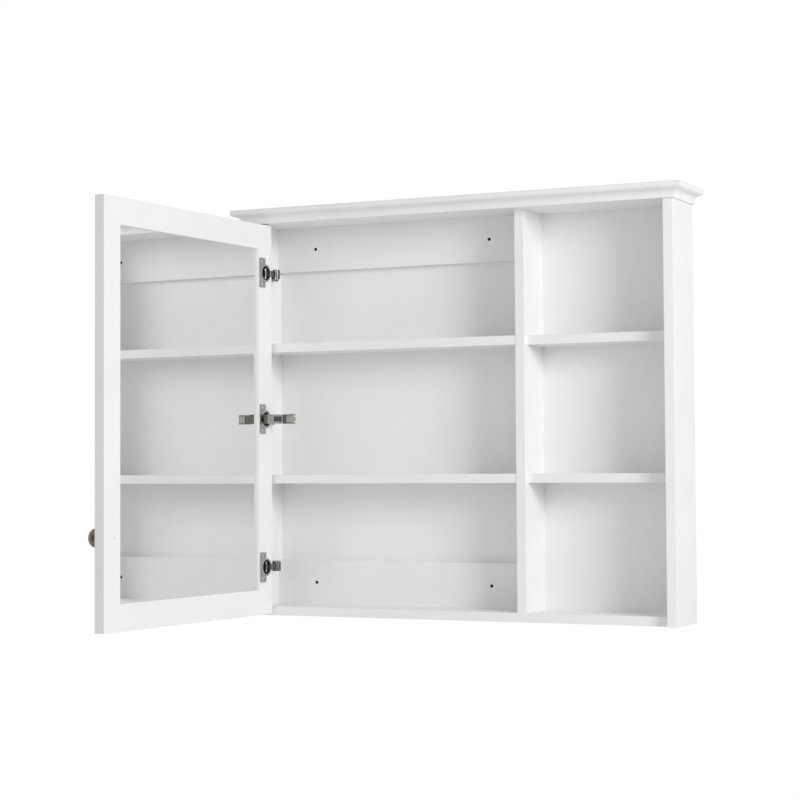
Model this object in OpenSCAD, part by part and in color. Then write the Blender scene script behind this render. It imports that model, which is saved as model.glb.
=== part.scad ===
// Wall cabinet with one framed mirror door on concealed hinges and an open shelf bay.
// Millimetres, +Z up, +Y into the wall, front towards -Y. The origin is the middle of
// the four wall-screw holes, on the wall face.

/* [Cabinet] */
// outside width over the two side panels
cab_w = 758; // [600:1:950]
// depth of the side panels, front edge to wall
cab_d = 104; // [95:1:160]
// overall height, foot to top of the cap
cab_h = 686; // [560:1:860]
// thickness of sides, divider, top, bottom and shelves
board_t = 15; // [12:0.5:19]
// clear width of the bay behind the door
bay_w = 473; // [300:1:560]
// set-back of divider and bottom from the side panels' front edges
front_step = 18; // [17.5:0.1:22]
// clear height of the lowest row of compartments
low_clear = 207; // [140:1:260]
// clear height of the middle row
mid_clear = 207; // [140:1:260]
// set-back of the closed bay's shelves from the divider's front
shelf_set = 1; // [0.5:0.5:20]
// set-back of the open bay's shelves from the divider's front
open_set = 14; // [2:1:30]
// thickness of the back panel
back_t = 3; // [2.5:0.5:6]
// depth the back panel is let into the side panels
rabbet = 8; // [5:0.5:10]

/* [Hanging rails] */
// height of each hanging rail
rail_h = 75; // [50:1:90]
// thickness of each hanging rail
rail_t = 12; // [9:0.5:15]
// distance between the wall-screw holes, sideways
hole_dx = 324.5; // [200:0.5:420]
// diameter of the wall-screw holes
hole_d = 5.5; // [4:0.1:8]

/* [Crown] */
// overhang of the cap at the front and both ends
crown_out = 19; // [14:0.5:30]
// thickness of the cap
cap_t = 9; // [7:0.5:15]
// how far the moulding's top edge stays inside the cap's edge
crown_lip = 2; // [1:0.5:5]
// projection of the fillet at the moulding's foot
fillet_out = 4; // [2:0.5:6]
// height of the fillet at the moulding's foot
fillet_h = 3.5; // [2:0.5:5]
// rounding of the cap's long edges
nose_r = 2.5; // [1:0.5:3.5]

/* [Door] */
// closed door's free edge short of the divider's far face
door_reveal = 5.5; // [3:0.5:9]
// how far the closed door's inner face stands in front of the divider
door_stand = 2.5; // [2:0.1:4]
// thickness of the door
door_t = 16.5; // [16:0.1:19]
// width of the door's frame members
frame_w = 42; // [40:1:60]
// gap above and below the door
door_gap = 3; // [2:0.5:4]
// gap between the closed door and the side panel
hinge_gap = 2.5; // [2:0.1:4]
// thickness of each mirror
glass_t = 3; // [2:0.5:4]
// thickness of the board between the mirrors
core_t = 2.8; // [2:0.1:4]
// recess of the inner mirror below the door's inner face
recess_in = 4.7; // [2:0.1:5]
// how far mirrors and board reach into the frame's groove
groove = 6; // [4:0.5:6]
// clearance at the mirrors' edges inside the groove
glass_fit = 0.5; // [0.3:0.1:1]
// angle the door stands open at rest
open_angle = 92.3; // [80:0.1:100]

/* [Hinges] */
// height of the lowest hinge above the door's lower edge
hinge_lo = 79; // [60:1:120]
// distance of the highest hinge below the door's upper edge
hinge_top = 81.5; // [60:0.5:120]
// distance of the middle hinge below the door's mid-height
hinge_drop = 0.5; // [-20:0.5:20]
// diameter of the hinge cup
cup_d = 26; // [26:0.5:35]
// depth of the hinge cup
cup_h = 12.2; // [11.5:0.1:12.5]
// distance from the door's edge to the cup's centre
cup_e = 19.5; // [19:0.5:24]
// height of the cup's flange, top to bottom
flange_h = 50; // [44:1:60]
// thickness of the flange
flange_t = 1.2; // [1:0.1:1.5]
// width of the hinge arm
arm_w = 15.5; // [14:0.5:18]
// sheet thickness of the arm
arm_t = 1.5; // [1.2:0.1:2]
// arm pivot from the side panel's inner face
arm_px = 31.9; // [31:0.1:34]
// arm pivot behind the divider's front plane
arm_back = 3.4; // [3:0.1:6]
// cup pivot from the door's hinge edge
pin_e = 11.5; // [11:0.1:12.5]
// cup pivot below the door's inner face
pin_d = 5; // [4:0.1:6]
// turn of the hinge links from closed to rest
link_turn = 34.7; // [30:0.1:38]
// diameter of the hinge pins
pin_dia = 3.2; // [2.5:0.1:4]
// radial running clearance of the links on their pins
pin_fit = 0.06; // [0.03:0.01:0.1]

/* [Knob] */
// knob's distance from the door's free edge
knob_e = 24; // [15:0.5:35]
// knob's height above the door's lower edge
knob_z = 141; // [60:1:400]
// diameter of the knob's head
knob_d = 29; // [22:0.5:36]
// how far the knob stands out
knob_out = 25; // [18:0.5:32]

/* [Hidden] */
eps = 1;
white = [0.93, 0.93, 0.92];
steel = [0.62, 0.63, 0.64];
// main lines, measured from the left side's outer face, the sides' front edges and the foot
x_in = board_t;
x_div = board_t + bay_w;
x_open = x_div + board_t;
x_right = cab_w - board_t;
y_fr = front_step;
y_back = cab_d - back_t;
z_top = cab_h - cap_t - board_t;
z_s1 = board_t + low_clear;
z_s2 = z_s1 + board_t + mid_clear;
z_cap = cab_h - cap_t;
hole_x = x_in + bay_w / 2;
hole_z1 = board_t + rail_h / 2;
hole_z2 = z_top - rail_h / 2;
door_z = door_gap;
door_h = z_top - 2 * door_gap;
door_x = board_t + hinge_gap;
door_y = front_step - door_stand;
door_w = bay_w + board_t - hinge_gap - door_reveal;
hinge_mid = door_h / 2 - hinge_drop;
hinge_hi = door_h - hinge_top;
recess_out = door_t - recess_in - 2 * glass_t - core_t;
g0 = recess_in;
g1 = door_t - recess_out;
// dowels: radius, depth into a face, depth into a board's end, distance from a board's edges
dowel_r = 4;
dowel_in = 7;
dowel_end = 17;
dowel_edge = 17;
// pegs of the door frame: radius, reach into stile and rail, offsets from a member's middle
peg_r = 3;
peg_stile = 14;
peg_rail = 16;
peg_out = 10;
peg_near = 4;
// back nails: shank and head radius, head height, length, distance of the end ones from the bays' ends
nail_r = 0.9;
nail_head_r = 2;
nail_head_h = 0.8;
nail_l = 18;
nail_end = 25;
// hinge plate screws: radius, head radius, depth, distance from the plate's middle
screw_r = 1.7;
head_r = 3.6;
screw_in = 11;
plate_pitch = 16;
// flange screws: radius, depth into the door, distance beside the cup's centre and above or below it
flange_r = 1.6;
flange_in = 10;
flange_dx = 11;
flange_dz = 19;
// arm: gap over its plate; slot's start and end behind the pivot and its width; clip lever's length,
// depth and height over the arm; adjusting block's distance along the slope, length and thickness
arm_gap = 0.3;
slot_from = 13.5;
slot_to = 21.5;
slot_w = 8.4;
clip_len = 13;
clip_deep = 3.5;
clip_out = 0.8;
block_from = 11;
block_l = 15;
block_t = 4;
hinges = [hinge_lo, hinge_mid, hinge_hi];
ends = [hinge_lo, hinge_hi];
// pivots in the closed door's plan
ax = x_in + arm_px;
ay = front_step + arm_back;
cx = door_x + pin_e;
cy = door_y - pin_d;
// cup pivot with the door at rest
rx = ax + cos(link_turn) * (cx - ax) - sin(link_turn) * (cy - ay);
ry = ay + sin(link_turn) * (cx - ax) + cos(link_turn) * (cy - ay);
ear_r = 3.5;
link_t = 2.4;
link_w = 9;
// bend of the link, from the arm pivot with the door at rest
bx = 0;
by = -17.9;

// whole assembly from cabinet lines to the wall-hole origin
module place() translate([-hole_x, -cab_d, -(hole_z1 + hole_z2) / 2]) children();
// closed-door plan to the door's rest position
module swing() place() translate([rx, ry, 0]) rotate([0, 0, -open_angle])
  translate([-cx, -cy, 0]) children();
// door frame: x along the door from its hinge edge, y = 0 on the inner face, -y outwards
module door() swing() translate([door_x, door_y, door_z]) children();
module box(a, b) translate(a) cube(b - a);
// round bars along each axis
module barx(r, a, b, y, z) translate([a, y, z]) rotate([0, 90, 0]) cylinder(r = r, h = b - a, $fn = 48);
module bary(r, a, b, x, z) translate([x, a, z]) rotate([-90, 0, 0]) cylinder(r = r, h = b - a, $fn = 48);
module barz(r, a, b, x, y) translate([x, y, a]) cylinder(r = r, h = b - a, $fn = 48);

// dowels: into a board's face by dowel_in, into the meeting board's end by dowel_end
rows = [board_t / 2, z_s1 + board_t / 2, z_s2 + board_t / 2, z_top + board_t / 2];
function row_y(i) = [y_fr + (i == 0 || i == 3 ? 0 : open_set) + dowel_edge, y_back - dowel_edge];
module carcass_dowel_bars() {
  for (i = [0:3]) for (y = row_y(i)) {
    barx(dowel_r, x_in - dowel_in, x_in + dowel_end, y, rows[i]);
    barx(dowel_r, x_right - dowel_end, x_right + dowel_in, y, rows[i]);
    if (i == 1 || i == 2) {
      barx(dowel_r, x_div - dowel_end, x_div + dowel_in, y, rows[i]);
      barx(dowel_r, x_open - dowel_in, x_open + dowel_end, y, rows[i]);
    }
  }
  for (y = row_y(0)) {
    barz(dowel_r, board_t - dowel_in, board_t + dowel_end, x_div + board_t / 2, y);
    barz(dowel_r, z_top - dowel_end, z_top + dowel_in, x_div + board_t / 2, y);
  }
}
// nails near the ends and at the middle of each row of compartments, and along top and bottom
nail_z = [board_t + nail_end, (board_t + z_s1) / 2, (z_s1 + board_t + z_s2) / 2,
  (z_s2 + board_t + z_top) / 2, z_top - nail_end];
nail_x = [x_in + bay_w / 4, x_in + bay_w / 2, x_in + bay_w * 3 / 4, (x_open + x_right) / 2];
module nail(x, z) {
  bary(nail_r, cab_d - nail_l, cab_d, x, z);
  bary(nail_head_r, cab_d - nail_head_h, cab_d, x, z);
}
module nails() {
  for (z = nail_z) for (x = [board_t - rabbet / 2, x_div + board_t / 2, cab_w - board_t + rabbet / 2]) nail(x, z);
  for (x = nail_x) for (z = [board_t / 2, z_top + board_t / 2]) nail(x, z);
}
module wall_holes() for (s = [-1, 1]) for (z = [hole_z1, hole_z2])
  bary(hole_d / 2, cab_d - back_t - rail_t - eps, cab_d + eps, hole_x + s * hole_dx / 2, z);

module side_board() difference() {
  box([0, 0, 0], [board_t, cab_d, z_cap]);
  box([board_t - rabbet, y_back, -eps], [board_t + eps, cab_d + eps, z_cap + eps]);
}
module left_side() color(white) place() difference() {
  side_board();
  carcass_dowel_bars();
  nails();
  plate_screw_bars();
}
module right_side() color(white) place() difference() {
  translate([cab_w, 0, 0]) mirror([1, 0, 0]) side_board();
  carcass_dowel_bars();
  nails();
}
module divider() color(white) place() difference() {
  box([x_div, y_fr, board_t], [x_open, y_back, z_top]);
  carcass_dowel_bars();
  nails();
}
module top_panel() color(white) place() difference() {
  box([x_in, 0, z_top], [x_right, y_back, z_cap]);
  carcass_dowel_bars();
  nails();
}
module bottom_panel() color(white) place() difference() {
  box([x_in, y_fr, 0], [x_right, y_back, board_t]);
  carcass_dowel_bars();
  nails();
}
module back_panel() color(white) place() difference() {
  box([board_t - rabbet, y_back, 0], [cab_w - board_t + rabbet, cab_d, z_cap]);
  wall_holes();
  nails();
}
module rail_top() color(white) place() difference() {
  box([x_in, y_back - rail_t, z_top - rail_h], [x_div, y_back, z_top]);
  wall_holes();
}
module rail_bottom() color(white) place() difference() {
  box([x_in, y_back - rail_t, board_t], [x_div, y_back, board_t + rail_h]);
  wall_holes();
}

// waste along the X-running edge at y = 0, z = 0 of a solid that fills +y, +z
module nose_cut(len) difference() {
  translate([-eps, -eps, -eps]) cube([len + 2 * eps, nose_r + eps, nose_r + eps]);
  barx(nose_r, -2 * eps, len + 2 * eps, nose_r, nose_r);
}
module cap_edge(len) {
  nose_cut(len);
  translate([0, 0, cap_t]) mirror([0, 0, 1]) nose_cut(len);
}
module cap_board() color(white) place() translate([-crown_out, -crown_out, z_cap]) difference() {
  cube([cab_w + 2 * crown_out, cab_d + crown_out, cap_t]);
  cap_edge(cab_w + 2 * crown_out);
  translate([0, cab_d + crown_out, 0]) rotate([0, 0, -90]) cap_edge(cab_d + crown_out);
  translate([cab_w + 2 * crown_out, 0, 0]) rotate([0, 0, 90]) cap_edge(cab_d + crown_out);
}
// moulding along X, its back on y = 0, projecting to -y, foot at z = 0
cove_r = min(board_t - fillet_h - 1, crown_out - crown_lip - fillet_out - 2);
module moulding(a, b) difference() {
  box([a, -(crown_out - crown_lip), 0], [b, 0, board_t]);
  box([a - eps, -crown_out - eps, -eps], [b + eps, -fillet_out, fillet_h]);
  box([a - eps, -crown_out - eps, fillet_h - 0.5], [b + eps, -fillet_out - cove_r, fillet_h + cove_r]);
  barx(cove_r, a - eps, b + eps, -fillet_out - cove_r, fillet_h);
}
// waste beyond the 45 degree joint at the left front corner
module mitre_waste(a) rotate([0, 0, -45]) translate([a, -60, -eps]) cube([900, 120, board_t + 2 * eps]);
module crown_front() color(white) place() translate([0, 0, z_top]) difference() {
  moulding(-crown_out, cab_w + crown_out);
  mitre_waste(-900);
  translate([cab_w, 0, 0]) mirror([1, 0, 0]) mitre_waste(-900);
}
module crown_end() difference() {
  mirror([1, -1, 0]) moulding(-crown_out, cab_d);
  mitre_waste(0);
}
module crown_left() color(white) place() translate([0, 0, z_top]) crown_end();
module crown_right() color(white) place() translate([cab_w, 0, z_top]) mirror([1, 0, 0]) crown_end();

module shelf(a, b, y, z) color(white) place() difference() {
  box([a, y, z], [b, y_back, z + board_t]);
  carcass_dowel_bars();
  nails();
}
module shelf_closed_low() shelf(x_in, x_div, y_fr + shelf_set, z_s1);
module shelf_closed_high() shelf(x_in, x_div, y_fr + shelf_set, z_s2);
module shelf_open_low() shelf(x_open, x_right, y_fr + open_set, z_s1);
module shelf_open_high() shelf(x_open, x_right, y_fr + open_set, z_s2);
module carcass_dowels() color([0.80, 0.66, 0.45]) place() carcass_dowel_bars();
module back_nails() color(steel) place() nails();

// hinge parts on the cabinet, at height z
plate_y = ay + 34;
plate_t = 5.5;
module plate_at(z) difference() {
  union() {
    box([x_in, plate_y - 14, z - 7.5], [x_in + plate_t, plate_y + 12.5, z + 7.5]);
    for (s = [-1, 1]) box([x_in, plate_y - 7, min(z, z + s * 23)], [x_in + 2, plate_y + 7, max(z, z + s * 23)]);
  }
  for (s = [-1, 1]) barx(screw_r + 0.5, x_in - eps, x_in + 2 * plate_t, plate_y, z + s * plate_pitch);
}
module plate_screw_bars() for (h = hinges) for (s = [-1, 1])
  barx(screw_r, x_in - screw_in, x_in + 2, plate_y, door_z + h + s * plate_pitch);
module mount_plates() color(steel) place() for (h = hinges) plate_at(door_z + h);
module plate_screws() color(steel) place() {
  plate_screw_bars();
  for (h = hinges) for (s = [-1, 1]) barx(head_r, x_in + 2, x_in + 3.8, plate_y, door_z + h + s * plate_pitch);
}
// arm as a pressed channel, plan of its side walls and of the hollow between them
arm_rear = plate_y + 9;
arm_base = x_in + plate_t + arm_gap;
arm_top = x_in + 14.5;
module arm_plan() polygon([[arm_base, arm_rear], [arm_top, arm_rear], [arm_top, ay + 23], [ax + 5.3, ay + 7],
  [ax + 5.3, ay - 0.5], [ax + 2.4, ay - ear_r], [ax - 2.4, ay - ear_r], [ax - ear_r - 1, ay + 1], [ax - 9, ay + 9],
  [arm_base, ay + 20]]);
module arm_hollow() polygon([[arm_base - 9, arm_rear + 9], [arm_top - arm_t, arm_rear + 9],
  [arm_top - arm_t, ay + 22.4],
  [ax + 5.3 - arm_t, ay + 6.3], [ax + 5.3 - arm_t, ay - 9], [arm_base - 9, ay - 9]]);
module arm_at(z) difference() {
  translate([0, 0, z - arm_w / 2]) linear_extrude(arm_w) arm_plan();
  translate([0, 0, z - arm_w / 2 + arm_t]) linear_extrude(arm_w - 2 * arm_t) arm_hollow();
  barz(pin_dia / 2, z - arm_w, z + arm_w, ax, ay);
  box([ax - 25, ay + slot_from, z - slot_w / 2], [ax + 10, ay + slot_to, z + slot_w / 2]);
  clip_box(z);
}
// clip lever let into the arm's rear end, with a leg down to the mounting plate
module clip_box(z) box([arm_top - clip_deep, arm_rear - clip_len, z - arm_w / 2 + arm_t],
  [arm_top + clip_out, arm_rear + eps, z + arm_w / 2 - arm_t]);
module clip_at(z, gap) {
  box([arm_top - clip_deep, arm_rear - clip_len, z - arm_w / 2 + arm_t],
    [arm_top + clip_out, arm_rear, z + arm_w / 2 - arm_t]);
  box([x_in + plate_t + gap, arm_rear - 3, z - 4], [arm_top - clip_deep, arm_rear, z + 4]);
}
// adjusting block behind the slot, flat against the sloping spine
spine_a = [ax + 5.3 - arm_t, ay + 6.3];
spine_b = [arm_top - arm_t, ay + 22.4];
module block_at(z) translate([spine_a[0], spine_a[1], z])
  rotate([0, 0, atan2(spine_b[1] - spine_a[1], spine_b[0] - spine_a[0])])
  translate([block_from, 0, arm_t - arm_w / 2]) cube([block_l, block_t, arm_w - 2 * arm_t]);
module hinge_arms() color(steel) place() for (h = ends) arm_at(door_z + h);
module arm_pins() color(steel) place() for (h = ends)
  barz(pin_dia / 2, door_z + h - arm_w / 2, door_z + h + arm_w / 2, ax, ay);
module arm_clips() color(steel) place() for (h = ends) clip_at(door_z + h, 0);
module arm_blocks() color([0.2, 0.2, 0.2]) place() for (h = ends) block_at(door_z + h);
// link drawn with the door at rest, arm pivot at x = y = 0
module link_bar(p, q) translate(p) rotate([0, 0, atan2(q[1] - p[1], q[0] - p[0])])
  translate([0, -link_t / 2, -link_w / 2]) cube([norm(q - p), link_t, link_w]);
module link_shape() difference() {
  union() {
    barz(ear_r - 0.4, -link_w / 2, link_w / 2, 0, 0);
    link_bar([0, 0, 0], [bx, by, 0]);
    barz(link_t / 2, -link_w / 2, link_w / 2, bx, by);
    link_bar([bx, by, 0], [rx - ax, ry - ay, 0]);
    barz(2.9, -link_w / 2, link_w / 2, rx - ax, ry - ay);
  }
  barz(pin_dia / 2 + pin_fit, -link_w, link_w, 0, 0);
  barz(pin_dia / 2 + pin_fit, -link_w, link_w, rx - ax, ry - ay);
}
module hinge_links() color(steel) place() for (h = ends) translate([ax, ay, door_z + h]) link_shape();

// door, in its own frame
module stile_blank() difference() {
  box([0, -door_t, 0], [frame_w, 0, door_h]);
  box([frame_w - groove, -g1, frame_w - groove], [frame_w + eps, -g0, door_h - frame_w + groove]);
  frame_pegs();
}
peg_z = [frame_w / 2 - peg_out, frame_w / 2 + peg_near];
module frame_pegs() for (p = peg_z) for (z = [p, door_h - p]) {
  barx(peg_r, frame_w - peg_stile, frame_w + peg_rail, -door_t / 2, z);
  barx(peg_r, door_w - frame_w - peg_rail, door_w - frame_w + peg_stile, -door_t / 2, z);
}
module flange_screw_bars() for (h = hinges) for (s = [-1, 1])
  bary(flange_r, -flange_in, flange_t, cup_e + flange_dx, h + s * flange_dz);
module stile_hinge() color(white) door() difference() {
  stile_blank();
  for (h = hinges) bary(cup_d / 2, -cup_h, eps, cup_e, h);
  flange_screw_bars();
}
module stile_free() color(white) door() difference() {
  translate([door_w, 0, 0]) mirror([1, 0, 0]) stile_blank();
  knob_bar();
}
module door_rail(z, up) difference() {
  box([frame_w, -door_t, z], [door_w - frame_w, 0, z + frame_w]);
  if (up) box([frame_w - eps, -g1, z + frame_w - groove], [door_w, -g0, z + frame_w + eps]);
  else box([frame_w - eps, -g1, z - eps], [door_w, -g0, z + groove]);
  frame_pegs();
}
module door_rail_top() color(white) door() door_rail(door_h - frame_w, false);
module door_rail_bottom() color(white) door() door_rail(0, true);
module frame_dowels() color([0.80, 0.66, 0.45]) door() frame_pegs();
module pane(a, b) { e = frame_w - groove + glass_fit; box([e, -b, e], [door_w - e, -a, door_h - e]); }
module mirror_back() color([0.80, 0.83, 0.85]) door() pane(g0, g0 + glass_t);
module mirror_core() color([0.55, 0.45, 0.35]) door() pane(g0 + glass_t, g1 - glass_t);
module mirror_front() color([0.80, 0.83, 0.85]) door() pane(g1 - glass_t, g1);
// pressed cup with its flange
wing_a = cup_e + 1.5;
wing_b = cup_e + 20;
module cup_at(z) difference() {
  union() {
    bary(cup_d / 2, -cup_h, flange_t, cup_e, z);
    bary(cup_d / 2 + 2, 0, flange_t, cup_e, z);
    box([wing_a + 2, 0, z - flange_h / 2], [wing_b - 2, flange_t, z + flange_h / 2]);
    box([wing_a, 0, z - flange_h / 2 + 2], [wing_b, flange_t, z + flange_h / 2 - 2]);
    for (s = [-1, 1]) for (x = [wing_a + 2, wing_b - 2]) bary(2, 0, flange_t, x, z + s * (flange_h / 2 - 2));
  }
  bary(cup_d / 2 - 1, 1 - cup_h, 2 * eps, cup_e, z);
  barz(pin_dia / 2, z - pin_half - 0.1, z + pin_half + 0.1, pin_e, -pin_d);
  for (s = [-1, 1]) bary(flange_r + 0.3, -eps, 2 * eps, cup_e + flange_dx, z + s * flange_dz);
}
pin_half = sqrt(pow(cup_d / 2, 2) - pow(cup_e - pin_e + 1.6, 2)) - 0.3;
module hinge_cups() color(steel) door() for (h = hinges) cup_at(h);
module cup_pins() color(steel) door() for (h = hinges)
  barz(pin_dia / 2, h - pin_half, h + pin_half, pin_e, -pin_d);
module flange_screws() color(steel) door() {
  flange_screw_bars();
  for (h = hinges) for (s = [-1, 1]) bary(head_r, flange_t, flange_t + 1.6, cup_e + flange_dx, h + s * flange_dz);
}
// the middle hinge hangs unclipped from the door, folded as it is with the door closed
module from_cabinet() translate([-door_x, -door_y, 0]) children();
module mid_hinge_arm() color(steel) door() from_cabinet() arm_at(hinge_mid);
module mid_hinge_pin() color(steel) door() from_cabinet()
  barz(pin_dia / 2, hinge_mid - arm_w / 2, hinge_mid + arm_w / 2, ax, ay);
module mid_hinge_clip() color(steel) door() from_cabinet() clip_at(hinge_mid, arm_gap);
module mid_hinge_block() color([0.2, 0.2, 0.2]) door() from_cabinet() block_at(hinge_mid);
module mid_hinge_link() color(steel) door() from_cabinet() translate([ax, ay, hinge_mid])
  rotate([0, 0, -link_turn]) link_shape();

module knob_bar() bary(2, -door_t - eps, eps, door_w - knob_e, knob_z);
module on_knob() translate([door_w - knob_e, -door_t, knob_z]) rotate([90, 0, 0]) children();
module knob() color([0.45, 0.36, 0.24]) door() on_knob() rotate_extrude($fn = 96) difference() {
  polygon([[0, 2.5], [5.2, 2.5], [4.6, 4], [4.2, 7], [4.6, 10], [6.5, 12.5], [10, 14],
    [knob_d / 2 - 1.2, 15], [knob_d / 2, 16.4], [knob_d / 2 - 0.3, 17.8], [knob_d / 2 - 1.6, 18.2],
    [knob_d / 2 - 2, 18.9], [knob_d / 2 - 1.5, 19.6], [knob_d / 2 - 3.2, 21.4], [knob_d / 2 - 6.5, knob_out - 2],
    [4, knob_out - 0.4], [0, knob_out]]);
  translate([-eps, 0]) square([2 + eps, 11]);
}
module knob_base() color([0.42, 0.38, 0.32]) door() on_knob() rotate_extrude($fn = 96)
  polygon([[2.1, 0], [9, 0], [9, 1], [7.5, 2.5], [2.1, 2.5]]);
module knob_screw() color(steel) door() {
  bary(2, -door_t - 10, 0, door_w - knob_e, knob_z);
  bary(4, 0, 1.8, door_w - knob_e, knob_z);
}

left_side();
right_side();
divider();
top_panel();
bottom_panel();
back_panel();
rail_top();
rail_bottom();
cap_board();
crown_front();
crown_left();
crown_right();
shelf_closed_low();
shelf_closed_high();
shelf_open_low();
shelf_open_high();
carcass_dowels();
back_nails();
mount_plates();
plate_screws();
hinge_arms();
arm_pins();
arm_clips();
arm_blocks();
hinge_links();
stile_hinge();
stile_free();
door_rail_top();
door_rail_bottom();
frame_dowels();
mirror_front();
mirror_back();
mirror_core();
hinge_cups();
cup_pins();
flange_screws();
mid_hinge_link();
mid_hinge_arm();
mid_hinge_pin();
mid_hinge_clip();
mid_hinge_block();
knob();
knob_base();
knob_screw();
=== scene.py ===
import math

import bmesh
import bpy
from mathutils import Matrix, Vector


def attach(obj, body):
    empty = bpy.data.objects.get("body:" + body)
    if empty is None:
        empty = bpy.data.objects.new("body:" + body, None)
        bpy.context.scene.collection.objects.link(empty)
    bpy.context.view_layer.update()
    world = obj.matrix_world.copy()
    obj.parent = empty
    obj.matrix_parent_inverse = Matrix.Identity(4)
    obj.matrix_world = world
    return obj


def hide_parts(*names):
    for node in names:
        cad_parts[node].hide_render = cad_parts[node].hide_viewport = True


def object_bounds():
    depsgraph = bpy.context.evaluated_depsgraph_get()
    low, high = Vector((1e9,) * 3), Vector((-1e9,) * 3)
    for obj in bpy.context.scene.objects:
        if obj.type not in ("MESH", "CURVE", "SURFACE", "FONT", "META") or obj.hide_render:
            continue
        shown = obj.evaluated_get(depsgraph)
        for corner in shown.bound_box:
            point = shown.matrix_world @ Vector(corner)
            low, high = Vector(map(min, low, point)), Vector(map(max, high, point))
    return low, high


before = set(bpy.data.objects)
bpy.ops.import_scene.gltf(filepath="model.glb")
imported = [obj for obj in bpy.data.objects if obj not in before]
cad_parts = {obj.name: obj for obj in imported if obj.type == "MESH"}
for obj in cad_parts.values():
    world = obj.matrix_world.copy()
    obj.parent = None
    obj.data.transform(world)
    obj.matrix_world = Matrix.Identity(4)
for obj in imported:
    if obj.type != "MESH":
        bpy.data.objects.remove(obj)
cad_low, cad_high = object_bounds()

# Camera. A long lens, in front and to the right of the cabinet, a little below its middle and tilted
# slightly up, so the open door is seen nearly side on with the mirror on its inner face.
eye = Vector((1.4925, -3.1469, -0.0953))
turned_left = math.radians(26.054)
tilted_up = math.radians(2.479)
leaning = math.radians(-0.302)
forward = Vector((
    -math.sin(turned_left) * math.cos(tilted_up),
    math.cos(turned_left) * math.cos(tilted_up),
    math.sin(tilted_up),
))
level_right = Vector((math.cos(turned_left), math.sin(turned_left), 0))
level_up = level_right.cross(forward)
right = math.cos(leaning) * level_right + math.sin(leaning) * level_up
up = math.cos(leaning) * level_up - math.sin(leaning) * level_right

lens = bpy.data.cameras.new("camera")
lens.sensor_width = 36
lens.lens = 92.77
lens.shift_x = 0.0240
lens.shift_y = -0.0235
camera = bpy.data.objects.new("camera", lens)
bpy.context.scene.collection.objects.link(camera)
camera.matrix_world = Matrix.Translation(eye) @ Matrix((right, up, -forward)).transposed().to_4x4()
bpy.context.scene.camera = camera

# Studio light. A white surround fills every side, and one soft round lamp at the right, a little above
# the cabinet, draws the side panels' shadows into the bays.
fill_strength = 0.54
world = bpy.data.worlds.new("white surround")
world.use_nodes = True
bpy.context.scene.world = world
sky = world.node_tree.nodes["Background"]
sky.inputs["Color"].default_value = (1, 1, 1, 1)
sky.inputs["Strength"].default_value = fill_strength
seen_sky = world.node_tree.nodes.new("ShaderNodeBackground")
seen_sky.inputs["Color"].default_value = (1, 1, 1, 1)
seen_sky.inputs["Strength"].default_value = 1.0
which_ray = world.node_tree.nodes.new("ShaderNodeLightPath")
pick_sky = world.node_tree.nodes.new("ShaderNodeMixShader")
world.node_tree.links.new(which_ray.outputs["Is Camera Ray"], pick_sky.inputs["Fac"])
world.node_tree.links.new(sky.outputs[0], pick_sky.inputs[1])
world.node_tree.links.new(seen_sky.outputs[0], pick_sky.inputs[2])
world.node_tree.links.new(pick_sky.outputs[0], world.node_tree.nodes["World Output"].inputs["Surface"])
bpy.context.scene.view_settings.view_transform = "Standard"

key_from = math.radians(60)
key_height = math.radians(14)
key_distance = 3.0
key_spread = math.radians(20)
key_power = 40
key_at = key_distance * Vector((
    math.sin(key_from) * math.cos(key_height),
    -math.cos(key_from) * math.cos(key_height),
    math.sin(key_height),
))
key = bpy.data.lights.new("key lamp", "AREA")
key.shape = "DISK"
key.size = 2 * key_distance * math.tan(key_spread / 2)
key.energy = key_power
key_lamp = bpy.data.objects.new("key lamp", key)
key_lamp.matrix_world = Matrix.Translation(key_at) @ key_at.to_track_quat("Z", "Y").to_matrix().to_4x4()
bpy.context.scene.collection.objects.link(key_lamp)


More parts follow.
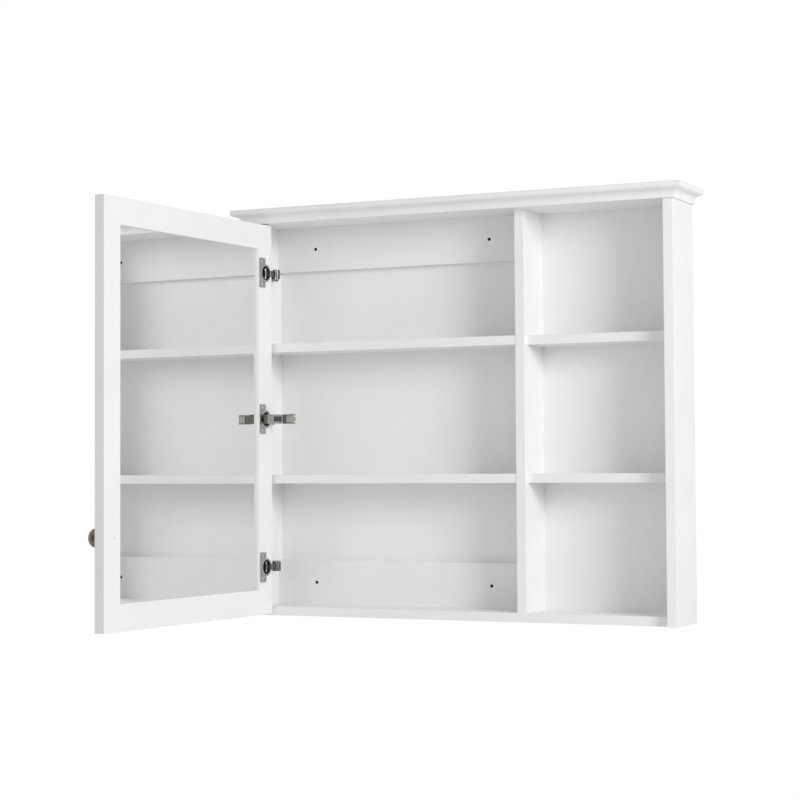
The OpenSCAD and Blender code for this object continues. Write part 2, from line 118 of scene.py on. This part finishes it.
# Materials' own words: each finish below is a shader with noise, colour bands and bump read from the
# object's coordinates, in metres.
class Finish:
    def __init__(self, name, **sockets):
        self.material = bpy.data.materials.new(name)
        self.material.use_nodes = True
        self.tree = self.material.node_tree
        self.shader = self.tree.nodes["Principled BSDF"]
        self.place = self.tree.nodes.new("ShaderNodeTexCoord").outputs["Object"]
        for socket, value in sockets.items():
            self.shader.inputs[socket.replace("_", " ")].default_value = value

    def stretched(self, scale):
        mapping = self.tree.nodes.new("ShaderNodeMapping")
        mapping.inputs["Scale"].default_value = scale
        self.tree.links.new(self.place, mapping.inputs["Vector"])
        return mapping.outputs["Vector"]

    def noise(self, scale, detail=2.0, rough=0.5, along=None):
        texture = self.tree.nodes.new("ShaderNodeTexNoise")
        texture.inputs["Scale"].default_value = scale
        texture.inputs["Detail"].default_value = detail
        texture.inputs["Roughness"].default_value = rough
        self.tree.links.new(along or self.place, texture.inputs["Vector"])
        return texture.outputs["Fac"]

    def bands(self, factor, *stops):
        ramp = self.tree.nodes.new("ShaderNodeValToRGB")
        points = ramp.color_ramp.elements
        while len(points) < len(stops):
            points.new(0.5)
        for point, (position, colour) in zip(points, stops):
            point.position = position
            point.color = (*colour, 1)
        self.tree.links.new(factor, ramp.inputs["Fac"])
        return ramp.outputs["Color"]

    def between(self, factor, low, high):
        spread = self.tree.nodes.new("ShaderNodeMapRange")
        spread.inputs["From Min"].default_value = 0.3
        spread.inputs["From Max"].default_value = 0.7
        spread.inputs["To Min"].default_value = low
        spread.inputs["To Max"].default_value = high
        self.tree.links.new(factor, spread.inputs["Value"])
        return spread.outputs["Result"]

    def bump(self, height, depth, strength=1.0, under=None):
        relief = self.tree.nodes.new("ShaderNodeBump")
        relief.inputs["Distance"].default_value = depth
        relief.inputs["Strength"].default_value = strength
        self.tree.links.new(height, relief.inputs["Height"])
        if under is not None:
            self.tree.links.new(under, relief.inputs["Normal"])
        return relief.outputs["Normal"]

    def wear(self, **outputs):
        for socket, output in outputs.items():
            self.tree.links.new(output, self.shader.inputs[socket.replace("_", " ")])
        return self.material


# Floor. A pale disc as far below the cabinet as a wall cabinet hangs above the floor; it only returns
# some light from below.
hung_above_floor = 1.2
floor_radius = 4.5
floor_grain = 40
floor_sides = 96
floor_glow = 0.12
bpy.ops.mesh.primitive_circle_add(vertices=floor_sides, radius=floor_radius, fill_type="NGON",
                                  location=(0, 0, cad_low.z - hung_above_floor))
floor = bpy.context.object
floor.name = "floor"
pale = Finish("pale floor", Roughness=0.7, Emission_Color=(1, 1, 1, 1), Emission_Strength=floor_glow)
floor.data.materials.append(pale.wear(
    Base_Color=pale.bands(pale.noise(floor_grain), (0.3, (0.86, 0.86, 0.855)), (0.7, (0.9, 0.9, 0.895)))))


# Carcass boards. Fibreboard panels, dowelled and glued, rolled with white satin paint. The arrises that
# a hand can reach are eased; those that meet another board stay square, which leaves a fine joint line.
def painted_board():
    paint = Finish("white satin paint", Specular_IOR_Level=0.45, Coat_Weight=0.08, Coat_Roughness=0.25)
    roller = paint.noise(850, detail=3, rough=0.6)
    flow = paint.noise(70, detail=2)
    tint = paint.noise(9, detail=3)
    eased = paint.bump(flow, 0.0004, strength=0.35)
    return paint.wear(
        Base_Color=paint.bands(tint, (0.3, (0.885, 0.885, 0.878)), (0.7, (0.915, 0.915, 0.91))),
        Roughness=paint.between(flow, 0.34, 0.46),
        Normal=paint.bump(roller, 0.00012, strength=0.4, under=eased),
    )


squarely = 0.999
weld_distance = 2e-6
flat_within = math.radians(0.5)
sharp_from = math.radians(30)


def facing(normal):
    """The side that an axis-aligned normal faces, such as "-y", or None."""
    for axis, amount in zip("xyz", normal):
        if abs(amount) > squarely:
            return ("+" if amount > 0 else "-") + axis
    return None


def softened(name, width, finish, body, butted=(), base=Matrix(), all_over=False, segments=3, bored=None,
             ribs=None):
    """A CAD node's shape as a clean mesh with eased edges, standing for the node.

    Edges of the sides named in butted stay square. With all_over, every edge is eased. The faces inside
    round holes take the finish in bored. Ribs are the way their face looks and the way their row runs.
    """
    shape = bmesh.new()
    shape.from_mesh(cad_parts[name].data)
    bmesh.ops.remove_doubles(shape, verts=shape.verts, dist=weld_distance)
    bmesh.ops.dissolve_limit(shape, angle_limit=flat_within, verts=shape.verts, edges=shape.edges)
    weight = shape.edges.layers.float.new("bevel_weight_edge")
    to_base = base.to_3x3().inverted()
    for face in shape.faces:
        face.smooth = True
        face.material_index = int(bored is not None and facing(to_base @ face.normal) is None)
    for edge in shape.edges:
        if len(edge.link_faces) != 2 or edge.calc_face_angle(0) < sharp_from:
            continue
        sides = [facing(to_base @ face.normal) for face in edge.link_faces]
        eased = all_over or (None not in sides and not set(sides) & set(butted))
        edge[weight] = 1.0 if eased else 0.0
        edge.smooth = eased
    mesh = bpy.data.meshes.new(name)
    shape.to_mesh(mesh)
    shape.free()
    if "custom_normal" in mesh.attributes:
        mesh.attributes.remove(mesh.attributes["custom_normal"])
    mesh.materials.append(finish)
    if bored is not None:
        mesh.materials.append(bored)
    piece = bpy.data.objects.new(name + ".made", mesh)
    bpy.context.scene.collection.objects.link(piece)
    ease = piece.modifiers.new("eased edges", "BEVEL")
    ease.width = width
    ease.segments = segments
    ease.limit_method = "WEIGHT"
    ease.harden_normals = True
    if ribs is not None:
        rib_rows(piece, name, *ribs)
    made(piece, body, name)
    return piece


def made(piece, body, *nodes):
    """Turns the piece's modifiers into plain mesh, hangs it on its body and lets it stand for CAD nodes."""
    graph = bpy.context.evaluated_depsgraph_get()
    mesh = bpy.data.meshes.new_from_object(piece.evaluated_get(graph), depsgraph=graph)
    piece.modifiers.clear()
    piece.data = mesh
    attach(piece, body)
    if nodes:
        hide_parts(*nodes)


board_ease = 0.0006
side_ease = 0.0013
white = painted_board()
softened("left_side", side_ease, white, "cabinet", butted=("+y", "+z"))
softened("right_side", side_ease, white, "cabinet", butted=("+y", "+z"))
softened("divider", board_ease, white, "cabinet", butted=("+y", "+z", "-z"))
softened("top_panel", board_ease, white, "cabinet", butted=("+y", "+z", "+x", "-x"))
softened("bottom_panel", board_ease, white, "cabinet", butted=("+y", "+x", "-x"))

# Back panel. Thin board let into rabbets in the side panels and nailed on from behind. The walls of the holes
# for the wall screws are coloured far darker than the raw brown fibre: the fibre's brown with painted shade.
def hardboard(name, dark, bright):
    board = Finish(name, Roughness=0.8)
    fibre = board.noise(600, detail=5, rough=0.7)
    return board.wear(
        Base_Color=board.bands(fibre, (0.3, dark), (0.7, bright)),
        Normal=board.bump(fibre, 0.0002, strength=0.4),
    )


raw_board = hardboard("brown hardboard", (0.3, 0.21, 0.14), (0.5, 0.38, 0.27))
# The bores' walls: a much darker copy of the hardboard, the fibre's brown with painted shade in the holes.
fibre_and_shade_bore = hardboard("drilled board with painted shade", (0.05, 0.038, 0.028), (0.12, 0.09, 0.065))
back_ease = 0.0002
softened("back_panel", back_ease, white, "cabinet", butted=("-y", "+x", "-x", "+z"), segments=2,
         bored=fibre_and_shade_bore)

# Shelves. Four boards like the carcass's; the open bay's pair stands further back than the closed bay's.
for shelf in ("shelf_closed_low", "shelf_closed_high", "shelf_open_low", "shelf_open_high"):
    softened(shelf, board_ease, white, "cabinet", butted=("+y", "+x", "-x"))

# Hanging rails. Two battens across the back of the closed bay; four screws through them hold the
# cabinet on its wall.
# Their screw holes' walls take the same darkened fibre colour: painted shade in the bores.
for rail in ("rail_top", "rail_bottom"):
    softened(rail, board_ease, white, "cabinet", butted=("+y", "+x", "-x"), bored=fibre_and_shade_bore)

# Cap and crown. A cap board with rounded edges over a coved moulding, a front length and two end
# returns mitred at the corners, glued and pinned under the cap.
crown_ease = 0.0003
softened("cap_board", crown_ease, white, "cabinet", butted=("+y",), segments=2)
for length in ("crown_front", "crown_left", "crown_right"):
    softened(length, crown_ease, white, "cabinet", butted=("+y", "+z"), segments=2)


# Dowels and nails. Fluted beech dowels in the carcass, beech pegs in the door frame, and wire nails
# whose flat heads show on the back.
def beech():
    wood = Finish("beech", Roughness=0.55)
    grain = wood.noise(180, detail=4, rough=0.6, along=wood.stretched((0.15, 1, 1)))
    return wood.wear(
        Base_Color=wood.bands(grain, (0.35, (0.62, 0.46, 0.28)), (0.65, (0.8, 0.66, 0.45))),
        Normal=wood.bump(grain, 0.0001, strength=0.3),
    )


def zinc_plated():
    zinc = Finish("zinc plated steel", Metallic=1.0)
    cloud = zinc.noise(900, detail=3)
    return zinc.wear(
        Base_Color=zinc.bands(cloud, (0.3, (0.48, 0.49, 0.5)), (0.7, (0.62, 0.63, 0.64))),
        Roughness=zinc.between(cloud, 0.28, 0.42),
    )


def finish_node(name, finish):
    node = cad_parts[name]
    node.data.materials.clear()
    node.data.materials.append(finish)


pale_wood = beech()
zinc_steel = zinc_plated()
finish_node("carcass_dowels", pale_wood)
finish_node("frame_dowels", pale_wood)
finish_node("back_nails", zinc_steel)


# Hinges on the cabinet. Pressed nickel-plated steel: a mounting plate on the side panel, an arm held on it
# by a ribbed clip lever, and the bent links that carry the door's cups on riveted pins. The arms and links
# take a darker copy of the nickel, painted shade that dims their shine. A near-black block shows through
# each arm's slot; its black is painted shade in the slot's hollow.
def nickel_plated(name, dark, bright):
    nickel = Finish(name, Metallic=1.0)
    drawn = nickel.noise(700, detail=3, rough=0.6, along=nickel.stretched((1, 1, 0.12)))
    worn = nickel.noise(120, detail=3)
    return nickel.wear(
        Base_Color=nickel.bands(worn, (0.3, dark), (0.7, bright)),
        Roughness=nickel.between(drawn, 0.36, 0.46),
        Normal=nickel.bump(drawn, 0.00003, strength=0.15),
    )


# Near-black steel for the blocks seen through the hinge arms' slots: its darkness is painted shade of the
# slots' hollows.
def slot_shade_black():
    steel = Finish("blackened steel", Specular_IOR_Level=0.4)
    shade_mottle = steel.noise(500, detail=4)
    return steel.wear(
        Base_Color=steel.bands(shade_mottle, (0.3, (0.02, 0.02, 0.022)), (0.7, (0.05, 0.05, 0.052))),
        Roughness=steel.between(shade_mottle, 0.4, 0.6),
    )


sheet_ease = 0.00022
nickel_steel = nickel_plated("nickel plated steel", (0.42, 0.41, 0.395), (0.5, 0.49, 0.47))
# A darker copy of the same nickel: painted shade, for the cups' hollows and to dim the arms' and links'
# shine.
shaded_nickel = nickel_plated("shaded nickel", (0.14, 0.135, 0.13), (0.22, 0.215, 0.205))


def pressed(name, finish, body, ribs=None):
    return softened(name, sheet_ease, finish, body, all_over=True, segments=2, ribs=ribs)


pressed("mount_plates", nickel_steel, "cabinet")
pressed("hinge_arms", shaded_nickel, "cabinet")
pressed("hinge_links", shaded_nickel, "links")
slot_shade_steel = slot_shade_black()
finish_node("arm_pins", zinc_steel)
# The blocks' near-black stands for the shade in the arms' slots.
finish_node("arm_blocks", slot_shade_steel)


# Screws. Domed heads with a cross recess, on the mounting plates, the cups' flanges and the knob. One
# tree makes them all, from a point for each head and the way the heads face.
head_segments = 32
head_rings = 16
block_to_radius = 4
recess_to_radius = 1.1
recess_to_height = 1.1
near_rim = 0.95


def boolean_cut(tree, body, cutters):
    cut = tree.nodes.new("GeometryNodeMeshBoolean")
    cut.operation = "DIFFERENCE"
    tree.links.new(body, cut.inputs["Mesh 1"])
    for cutter in cutters:
        tree.links.new(cutter, cut.inputs["Mesh 2"])
    return cut.outputs["Mesh"]


def named_input(tree, name, kind, value=None):
    socket = tree.interface.new_socket(name=name, in_out="INPUT", socket_type=kind)
    if value is not None:
        socket.default_value = value


def screw_head_tree():
    tree = bpy.data.node_groups.new("cross recess screw heads", "GeometryNodeTree")
    named_input(tree, "Places", "NodeSocketGeometry")
    named_input(tree, "Head radius", "NodeSocketFloat", 0.0036)
    named_input(tree, "Head height", "NodeSocketFloat", 0.0017)
    named_input(tree, "Recess width", "NodeSocketFloat", 0.0008)
    named_input(tree, "Facing", "NodeSocketRotation")
    named_input(tree, "Finish", "NodeSocketMaterial")
    tree.interface.new_socket(name="Heads", in_out="OUTPUT", socket_type="NodeSocketGeometry")
    given = tree.nodes.new("NodeGroupInput")
    result = tree.nodes.new("NodeGroupOutput")
    nodes, links = tree.nodes, tree.links

    def times(value, factor):
        step = nodes.new("ShaderNodeMath")
        step.operation = "MULTIPLY"
        links.new(value, step.inputs[0])
        step.inputs[1].default_value = factor
        return step.outputs[0]

    def vector(x, y, z):
        joined = nodes.new("ShaderNodeCombineXYZ")
        for output, socket in zip((x, y, z), joined.inputs):
            links.new(output, socket)
        return joined.outputs[0]

    def block(size, offset):
        cube = nodes.new("GeometryNodeMeshCube")
        links.new(size, cube.inputs["Size"])
        move = nodes.new("GeometryNodeTransform")
        links.new(cube.outputs["Mesh"], move.inputs["Geometry"])
        links.new(offset, move.inputs["Translation"])
        return move.outputs["Geometry"]

    radius, height = given.outputs["Head radius"], given.outputs["Head height"]
    recess, none = given.outputs["Recess width"], times(given.outputs["Head radius"], 0)
    dome = nodes.new("GeometryNodeMeshUVSphere")
    dome.inputs["Segments"].default_value = head_segments
    dome.inputs["Rings"].default_value = head_rings
    dome.inputs["Radius"].default_value = 1.0
    squashed = nodes.new("GeometryNodeTransform")
    links.new(dome.outputs["Mesh"], squashed.inputs["Geometry"])
    links.new(vector(radius, radius, height), squashed.inputs["Scale"])
    wide, reach = times(radius, block_to_radius), times(radius, recess_to_radius)
    under = block(vector(wide, wide, wide), vector(none, none, times(wide, -0.5)))
    recess_at = vector(none, none, height)
    recess_deep = times(height, recess_to_height)
    bars = [block(vector(reach, recess, recess_deep), recess_at),
            block(vector(recess, reach, recess_deep), recess_at)]
    head = boolean_cut(tree, squashed.outputs["Geometry"], [under, *bars])
    spread = nodes.new("GeometryNodeInstanceOnPoints")
    links.new(given.outputs["Places"], spread.inputs["Points"])
    links.new(head, spread.inputs["Instance"])
    links.new(given.outputs["Facing"], spread.inputs["Rotation"])
    real = nodes.new("GeometryNodeRealizeInstances")
    links.new(spread.outputs["Instances"], real.inputs["Geometry"])
    painted = nodes.new("GeometryNodeSetMaterial")
    links.new(real.outputs["Geometry"], painted.inputs["Geometry"])
    links.new(given.outputs["Finish"], painted.inputs["Material"])
    links.new(painted.outputs["Geometry"], result.inputs["Heads"])
    return tree


def loose_solids(node):
    """The places of the vertices of each loose solid of a CAD node."""
    solid = bmesh.new()
    solid.from_mesh(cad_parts[node].data)
    bmesh.ops.remove_doubles(solid, verts=solid.verts, dist=weld_distance)
    solid.verts.index_update()
    seen, found = set(), []
    for start in solid.verts:
        if start in seen:
            continue
        island, border = {start}, [start]
        while border:
            vert = border.pop()
            for edge in vert.link_edges:
                other = edge.other_vert(vert)
                if other not in island:
                    island.add(other)
                    border.append(other)
        seen |= island
        found.append([vert.co.copy() for vert in sorted(island, key=lambda vert: vert.index)])
    solid.free()
    return found


def heads_of(node, outward):
    """For each screw of a CAD node: the middle of the flat under its head, its head's radius and height,
    measured along outward."""
    found = []
    for places in loose_solids(node):
        middle = sum(places, Vector()) / len(places)
        heights = [place.dot(outward) for place in places]
        across = [(place - middle - (place - middle).dot(outward) * outward).length for place in places]
        radius = max(across)
        foot = min(height for height, reach in zip(heights, across) if reach > near_rim * radius)
        found.append((middle + (foot - middle.dot(outward)) * outward, radius, max(heights) - foot))
    return found


screw_tree = screw_head_tree()
screw_sockets = {item.name: item.identifier for item in screw_tree.interface.items_tree}


def screw_heads(node, body, outward, finish=zinc_steel):
    heads = heads_of(node, outward)
    mesh = bpy.data.meshes.new(node + " places")
    mesh.from_pydata([place for place, _, _ in heads], [], [])
    piece = bpy.data.objects.new(node + ".made", mesh)
    bpy.context.scene.collection.objects.link(piece)
    maker = piece.modifiers.new("screw heads", "NODES")
    maker.node_group = screw_tree
    maker[screw_sockets["Head radius"]] = heads[0][1]
    maker[screw_sockets["Head height"]] = heads[0][2]
    maker[screw_sockets["Facing"]] = outward.to_track_quat("Z", "Y").to_euler()
    maker[screw_sockets["Finish"]] = finish
    made(piece, body, node)


screw_heads("plate_screws", "cabinet", Vector((1, 0, 0)))


# Clip levers. Each carries a row of small cross ribs for the thumb, added by one tree, a row at a time.
rib_radius = 0.00045
rib_sunk = 0.00015
rib_pitch = 0.0013
rib_margin = 0.0008
rib_sides = 16
same_level = 1e-5


def rib_tree():
    tree = bpy.data.node_groups.new("row of ribs", "GeometryNodeTree")
    nodes, links = tree.nodes, tree.links
    named_input(tree, "Lever", "NodeSocketGeometry")
    named_input(tree, "First rib", "NodeSocketVector")
    named_input(tree, "Step", "NodeSocketVector")
    named_input(tree, "Ribs", "NodeSocketInt", 8)
    named_input(tree, "Rib length", "NodeSocketFloat", 0.01)
    named_input(tree, "Finish", "NodeSocketMaterial")
    tree.interface.new_socket(name="Ribbed lever", in_out="OUTPUT", socket_type="NodeSocketGeometry")
    given = nodes.new("NodeGroupInput")
    result = nodes.new("NodeGroupOutput")
    row = nodes.new("GeometryNodeMeshLine")
    links.new(given.outputs["Ribs"], row.inputs["Count"])
    links.new(given.outputs["First rib"], row.inputs["Start Location"])
    links.new(given.outputs["Step"], row.inputs["Offset"])
    rib = nodes.new("GeometryNodeMeshCylinder")
    rib.inputs["Vertices"].default_value = rib_sides
    rib.inputs["Radius"].default_value = rib_radius
    links.new(given.outputs["Rib length"], rib.inputs["Depth"])
    spread = nodes.new("GeometryNodeInstanceOnPoints")
    links.new(row.outputs["Mesh"], spread.inputs["Points"])
    links.new(rib.outputs["Mesh"], spread.inputs["Instance"])
    real = nodes.new("GeometryNodeRealizeInstances")
    links.new(spread.outputs["Instances"], real.inputs["Geometry"])
    coated = nodes.new("GeometryNodeSetMaterial")
    links.new(real.outputs["Geometry"], coated.inputs["Geometry"])
    links.new(given.outputs["Finish"], coated.inputs["Material"])
    both = nodes.new("GeometryNodeJoinGeometry")
    links.new(coated.outputs["Geometry"], both.inputs["Geometry"])
    links.new(given.outputs["Lever"], both.inputs["Geometry"])
    links.new(both.outputs["Geometry"], result.inputs["Ribbed lever"])
    return tree


ribs_of_lever = rib_tree()
rib_sockets = {item.name: item.identifier for item in ribs_of_lever.interface.items_tree}


def rib_rows(piece, node, outward, along):
    for places in loose_solids(node):
        top = max(place.dot(outward) for place in places)
        face = [place for place in places if place.dot(outward) > top - same_level]
        low, high = (end(place.dot(along) for place in face) for end in (min, max))
        foot, head = (end(place.z for place in face) for end in (min, max))
        count = int((high - low - 2 * rib_margin) / rib_pitch) + 1
        first = (low + high - (count - 1) * rib_pitch) / 2
        maker = piece.modifiers.new("row of ribs", "NODES")
        maker.node_group = ribs_of_lever
        maker[rib_sockets["First rib"]] = ((top - rib_sunk) * outward + first * along
                                           + Vector((0, 0, (foot + head) / 2)))
        maker[rib_sockets["Step"]] = rib_pitch * along
        maker[rib_sockets["Ribs"]] = count
        maker[rib_sockets["Rib length"]] = head - foot - 2 * rib_margin
        maker[rib_sockets["Finish"]] = nickel_steel


pressed("arm_clips", nickel_steel, "cabinet", ribs=(Vector((1, 0, 0)), Vector((0, 1, 0))))

# Door frame. Two stiles and two rails in the same painted fibreboard, grooved inside for the mirrors and
# pegged at the corners. It stands open, so its own directions are turned from the cabinet's.
open_angle = math.radians(-92.3)
door_turn = Matrix.Rotation(open_angle, 4, "Z")
door_out = (door_turn @ Vector((0, 1, 0))).normalized()
frame_ease = 0.0008
softened("stile_hinge", frame_ease, white, "door", base=door_turn)
softened("stile_free", frame_ease, white, "door", base=door_turn)
for member in ("door_rail_top", "door_rail_bottom"):
    softened(member, frame_ease, white, "door", butted=("+x", "-x"), base=door_turn)


# Mirrors. Two silvered glass panes, back to back in the frame's groove with a thin fibreboard between.
def silvered_glass():
    glass = Finish("silvered glass", Metallic=1.0)
    wave = glass.noise(5, detail=1)
    film = glass.noise(14, detail=4)
    return glass.wear(
        Base_Color=glass.bands(film, (0.3, (0.875, 0.89, 0.885)), (0.7, (0.895, 0.905, 0.9))),
        Roughness=glass.between(film, 0.008, 0.025),
        Normal=glass.bump(wave, 0.0001, strength=0.15),
    )


mirror = silvered_glass()
for pane in ("mirror_front", "mirror_back"):
    finish_node(pane, mirror)
finish_node("mirror_core", raw_board)

# Hinges on the door. A pressed cup sunk in the stile under a flange with two screws. The middle hinge
# hangs unclipped, with its arm still folded square to the door. Faces sunk in the cups below the flange
# take the darker nickel copy, painted shade inside them; the middle hinge's arm and link take it too.
cup_shade_depth = 0.002
cups = pressed("hinge_cups", nickel_steel, "door")
cups.data.materials.append(shaded_nickel)
# Faces sunk more than the set depth below the flange get the darker nickel copy: painted shade in the cups.
flange_level = max(face.center.dot(door_out) for face in cups.data.polygons)
for face in cups.data.polygons:
    face.material_index = int(face.center.dot(door_out) < flange_level - cup_shade_depth)
pressed("mid_hinge_arm", shaded_nickel, "door")
pressed("mid_hinge_link", shaded_nickel, "door")
finish_node("cup_pins", zinc_steel)
finish_node("mid_hinge_pin", zinc_steel)
# Near-black block: painted shade in the folded arm's slot.
finish_node("mid_hinge_block", slot_shade_steel)
pressed("mid_hinge_clip", nickel_steel, "door", ribs=((door_turn @ Vector((1, 0, 0))).normalized(), door_out))
screw_heads("flange_screws", "door", door_out)


# Knob. A turned mushroom knob in antiqued brass on a darker base ring, held by one screw through the
# stile.
def antique_brass(name, dark, bright):
    brass = Finish(name, Metallic=1.0)
    # The colour is streaked along the height: patina mottle, and painted highlight streaks for the turned
    # ridges.
    patina_and_glint_streaks = brass.noise(260, detail=5, rough=0.65, along=brass.stretched((1, 1, 0.3)))
    turned = brass.noise(1400, detail=2)
    return brass.wear(
        Base_Color=brass.bands(patina_and_glint_streaks, (0.32, dark), (0.68, bright)),
        Roughness=brass.between(patina_and_glint_streaks, 0.3, 0.5),
        Normal=brass.bump(turned, 0.00003, strength=0.3),
    )


knob_ease = 0.0004
knob_base_ease = 0.0002
knob_brass = antique_brass("antique brass", (0.22, 0.175, 0.125), (0.56, 0.46, 0.34))
softened("knob", knob_ease, knob_brass, "door", all_over=True, segments=2)
base_brass = antique_brass("grey brass", (0.2, 0.185, 0.165), (0.42, 0.4, 0.365))
softened("knob_base", knob_base_ease, base_brass, "door", all_over=True, segments=2)
screw_heads("knob_screw", "door", door_out, finish=white)
